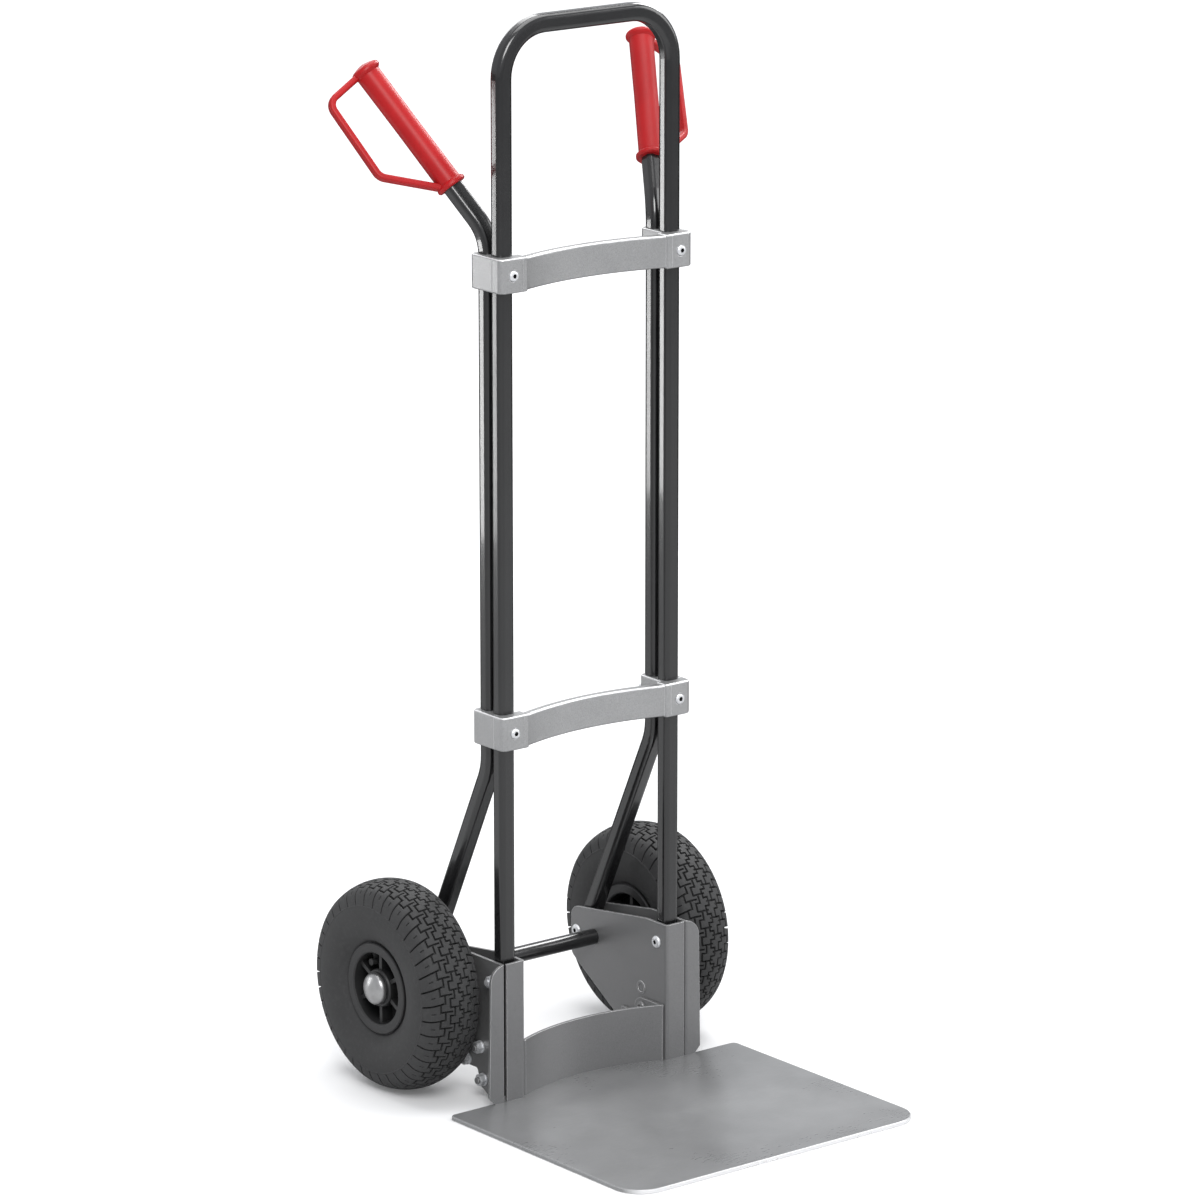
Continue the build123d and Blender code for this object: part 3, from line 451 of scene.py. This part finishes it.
def grooves():
    """Rectangles cut into the tread, (s0, s1, p0, p1, depth), p in mm along the pitch."""
    out = []
    P = PITCH
    for sg in (1, -1):
        for k, (c, ph) in enumerate(LINES):
            if k == 0 and sg < 0:
                continue
            lift = 0.5 if sg < 0 else 0.0
            a = (ph + lift) * P
            out.append((sg * c + STEP - HW, sg * c + STEP + HW, a - HW, a + 0.5 * P + HW, 4.6))
            out.append((sg * c - STEP - HW, sg * c - STEP + HW, a + 0.5 * P - HW, a + P + HW, 4.6))
            for t in (a, a + 0.5 * P):
                out.append((sg * c - STEP - HW, sg * c + STEP + HW, t - HW, t + HW, 4.6))
        # cross grooves between the zigzags
        for t in ((0.25 if sg > 0 else 0.75) * P,):
            lo, hi = (0.0, LINES[1][0]) if sg > 0 else (-LINES[1][0], 0.0)
            out.append((lo, hi, t - HW, t + HW, 4.0))
        for t in ((0.5 if sg > 0 else 0.0) * P,):
            lo, hi = (LINES[1][0], LINES[2][0]) if sg > 0 else (-LINES[2][0], -LINES[1][0])
            out.append((lo, hi, t - HW, t + HW, 4.0))
        # deep grooves between the shoulder lugs, and a short slot in each lug
        a = 0.0 if sg > 0 else 0.5 * P
        lo, hi = (LINES[2][0], S_LUG) if sg > 0 else (-S_LUG, -LINES[2][0])
        out.append((lo, hi, a - HW, a + HW, 5.4))
        lo, hi = (34.0, 39.0) if sg > 0 else (-39.0, -34.0)
        out.append((lo, hi, a + 0.5 * P - HW * 0.6, a + 0.5 * P + HW * 0.6, 1.6))
    return out


RECTS = grooves()


def depth(s, p):
    d = 0.0
    for s0, s1, p0, p1, deep in RECTS:
        if not (s0 - E < s < s1 + E):
            continue
        ds = min(1.0, (s - (s0 - E)) / E, ((s1 + E) - s) / E)
        for w in (-PITCH, 0.0, PITCH):
            q = p + w
            if p0 - E < q < p1 + E:
                dp = min(1.0, (q - (p0 - E)) / E, ((p1 + E) - q) / E)
                d = max(d, deep * max(0.0, min(ds, dp)))
    return d


def tyre_mesh(name, centre):
    # rows across the tread, at the walls of the grooves and between them
    rows = set()
    for s0, s1, *_ in RECTS:
        rows.update(round(v, 3) for v in (s0 - E, s0, s1, s1 + E))
    rows.update(np.round(np.arange(-S_LUG - 0.0, S_LUG + 0.1, S_LUG / 14), 3).tolist())
    rows = sorted(rows)
    keep = [rows[0]]
    for v in rows[1:]:
        if v - keep[-1] > 0.24:
            keep.append(v)
    rows = keep
    side = np.linspace(S_LUG + E + 2.2, S_END, 15).tolist()
    cols = set()
    for *_, p0, p1, _d in RECTS:
        cols.update(round(v % PITCH, 3) for v in (p0 - E, p0, p1, p1 + E))
    cols = sorted(cols)
    keep = [cols[0]]
    for v in cols[1:]:
        if v - keep[-1] > 0.2:
            keep.append(v)
    cols = keep

    prof = []                                        # (kind, value): tread rows by s, plain points by (x, r)
    inner = [(30.9, 59.6), (28.2, 57.4), (27.95, 54.2), (27.7, 51.2), (27.4, 51.0), (21, 51.0), (22.2, 54), (23.5, 57)]
    inner += arc3((23.5, 57), (35, 88), (25, 112), 8)[1:]
    inner += arc3((25, 112), (0, 119), (-25, 112), 8)[1:]
    inner += arc3((-25, 112), (-35, 88), (-23.5, 57), 8)[1:]
    inner += [(-22.2, 54), (-21, 51.0), (-27.4, 51.0), (-27.7, 51.2), (-27.95, 54.2), (-28.2, 57.4), (-30.9, 59.6)]
    loop = [("s", -v) for v in reversed(side)]
    loop += [("ridge", -(S_LUG + E + v), h) for v, h in ((1.7, 0.0), (1.3, 0.45), (0.3, 0.45), (0.0, 0.0))]
    loop += [("s", v) for v in rows]
    loop += [("ridge", S_LUG + E + v, h) for v, h in ((0.0, 0.0), (0.3, 0.45), (1.3, 0.45), (1.7, 0.0))]
    loop += [("s", v) for v in side] + [("p", *v) for v in inner]

    pts = []
    for item in loop:
        if item[0] == "p":
            _, x, r = item
            pts.append((x, r, 0, 0, None, 0))
        else:
            x, r, nx, nr = at(item[1])
            h = item[2] if item[0] == "ridge" else 0.0
            pts.append((x, r, nx, nr, item[1], h))
    n_cols = len(cols) * PITCHES
    verts = []
    for x, r, nx, nr, s, h in pts:
        cut = None
        if s is not None and abs(s) <= S_LUG + E:
            cut = [depth(s, p) for p in cols]
        warp = 0.0
        if s is not None:
            a = abs(s)
            warp = 0.010 * max(0.0, min(a, S_LUG) - 24.0)
        for k in range(PITCHES):
            for j, p in enumerate(cols):
                th = (k + p / PITCH + warp) * 2 * math.pi / PITCHES
                d = (cut[j] if cut else 0.0) - h
                xx, rr = x - nx * d, r - nr * d
                verts.append((centre.x + xx * MM, centre.y + rr * math.cos(th) * MM, centre.z + rr * math.sin(th) * MM))
    faces = []
    m = len(pts)
    for i in range(m):
        i2 = (i + 1) % m
        for j in range(n_cols):
            j2 = (j + 1) % n_cols
            faces.append((i * n_cols + j, i * n_cols + j2, i2 * n_cols + j2, i2 * n_cols + j))
    me = bpy.data.meshes.new(name)
    me.from_pydata(verts, [], faces)
    me.validate()
    me.update()
    o = bpy.data.objects.new(name, me)
    bpy.context.scene.collection.objects.link(o)
    # faces outwards
    bpy.context.view_layer.update()
    import bmesh
    bm = bmesh.new()
    bm.from_mesh(me)
    bmesh.ops.recalc_face_normals(bm, faces=bm.faces)
    bm.to_mesh(me)
    bm.free()
    smooth(o, 32)
    me.materials.append(MATS["tyre_rubber"])
    return o


for sidename in ("right", "left"):
    lo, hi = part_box("tyre_" + sidename)
    t = tyre_mesh("tyre_tread_" + sidename, (lo + hi) / 2)
    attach(t, "wheel_" + sidename)
    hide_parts("tyre_" + sidename)


# ---------------------------------------------------------------- floor
def floor_material():
    g = Graph("studio_floor")
    n1 = g.noise(1.2, 3, 0.5)
    base = g.mix(g.span(n1, 0.3, 0.7), (0.83, 0.83, 0.835), (0.86, 0.86, 0.86))
    ray = g.t.nodes.new("ShaderNodeLightPath")
    # the lit pool fades with distance, so the floor is lifted out there to stay an even pale
    far = g.t.nodes.new("ShaderNodeVectorMath")
    far.operation = "LENGTH"
    g.put(far.inputs[0], g.co)
    lift = g.span(far.outputs["Value"], 0.5, 7.0, 0.10, 0.62, smooth=True)
    # in glossy reflections the floor is painted dark, darkest beyond the object: painted shade in the reflections
    ahead = g.t.nodes.new("ShaderNodeVectorMath")
    ahead.operation = "DOT_PRODUCT"
    g.put(ahead.inputs[0], g.co)
    ahead.inputs[1].default_value = (0.66, 0.75, 0.0)
    reflection_shade = g.span(ahead.outputs["Value"], 0.25, 1.1, 0.40, 0.93, smooth=True)
    g.set(Base_Color=g.mix(g.math("MULTIPLY", ray.outputs["Is Glossy Ray"], reflection_shade), base, (0.0, 0.0, 0.0)), Roughness=0.75)
    g.set(Specular_IOR_Level=0.2, Emission_Color=(1.0, 1.0, 1.0, 1.0))
    g.put(g.b.inputs["Emission Strength"], g.math("MULTIPLY", ray.outputs["Is Camera Ray"], lift))
    return g.m


me = bpy.data.meshes.new("floor")
R, N = 60.0, 96
ring = [(R * math.cos(2 * math.pi * i / N), R * math.sin(2 * math.pi * i / N), -0.0004) for i in range(N)]
me.from_pydata(ring, [], [tuple(range(N))])
floor = bpy.data.objects.new("floor", me)
bpy.context.scene.collection.objects.link(floor)
me.materials.append(floor_material())

# ---------------------------------------------------------------- light
world = bpy.data.worlds.new("studio")
bpy.context.scene.world = world
world.use_nodes = True
wt = world.node_tree
bg = wt.nodes["Background"]
ray = wt.nodes.new("ShaderNodeLightPath")
pick = wt.nodes.new("ShaderNodeMix")
pick.data_type = "RGBA"
wt.links.new(ray.outputs["Is Camera Ray"], pick.inputs[0])
pick.inputs[6].default_value = (0.57, 0.58, 0.60, 1.0)
pick.inputs[7].default_value = (1.0, 1.0, 1.0, 1.0)
wt.links.new(pick.outputs[2], bg.inputs["Color"])
bg.inputs["Strength"].default_value = 1.0


def softbox(name, loc, target, sx, sy, power, colour=(1, 1, 1)):
    d = bpy.data.lights.new(name, "AREA")
    d.shape, d.size, d.size_y, d.energy, d.color = "RECTANGLE", sx, sy, power, colour
    o = bpy.data.objects.new(name, d)
    o.location = loc
    o.rotation_euler = (Vector(target) - Vector(loc)).to_track_quat("-Z", "Y").to_euler()
    o.visible_camera = False
    bpy.context.scene.collection.objects.link(o)
    return o


softbox("key", (-2.6, -3.6, 4.2), (0, 0, 0.5), 2.4, 2.4, 180)
softbox("top", (0.6, 0.2, 4.6), (0, 0, 0), 3.6, 3.6, 128)
softbox("fill", (3.6, -2.2, 2.2), (0, 0, 0.6), 2.0, 2.6, 55)
softbox("back", (1.2, 3.8, 3.0), (0, 0, 0.6), 2.4, 2.0, 42)
# narrow lights that only draw highlights along the tubes and the axle
for name, loc, target, sx, sy, power in (
    ("tube_strip", (-1.49, 1.95, 0.50), (0, 0.07, 0.50), 0.16, 0.74, 5.0),
    ("axle_strip", (1.95, 0.75, 2.35), (0, 0.18, 0.2), 1.0, 1.1, 42),
):
    strip = softbox(name, loc, target, sx, sy, power)
    strip.visible_diffuse = False

# ---------------------------------------------------------------- camera
cam_data = bpy.data.cameras.new("camera")
cam_data.sensor_width = 36.0
cam_data.lens = 36.0 * 6065.0 / 1200.0
cam_data.clip_start, cam_data.clip_end = 0.1, 200.0
cam = bpy.data.objects.new("camera", cam_data)
az, el = math.radians(38.605), math.radians(14.372)
direction = Vector((math.sin(az) * math.cos(el), math.cos(az) * math.cos(el), -math.sin(el)))
cam.location = (-4.3841, -5.4588, 2.4103)
cam.rotation_mode = "QUATERNION"
cam.rotation_quaternion = direction.to_track_quat("-Z", "Y")
bpy.context.scene.collection.objects.link(cam)
bpy.context.scene.camera = cam

bpy.context.scene.view_settings.view_transform = "Standard"
bpy.context.scene.view_settings.look = "None"
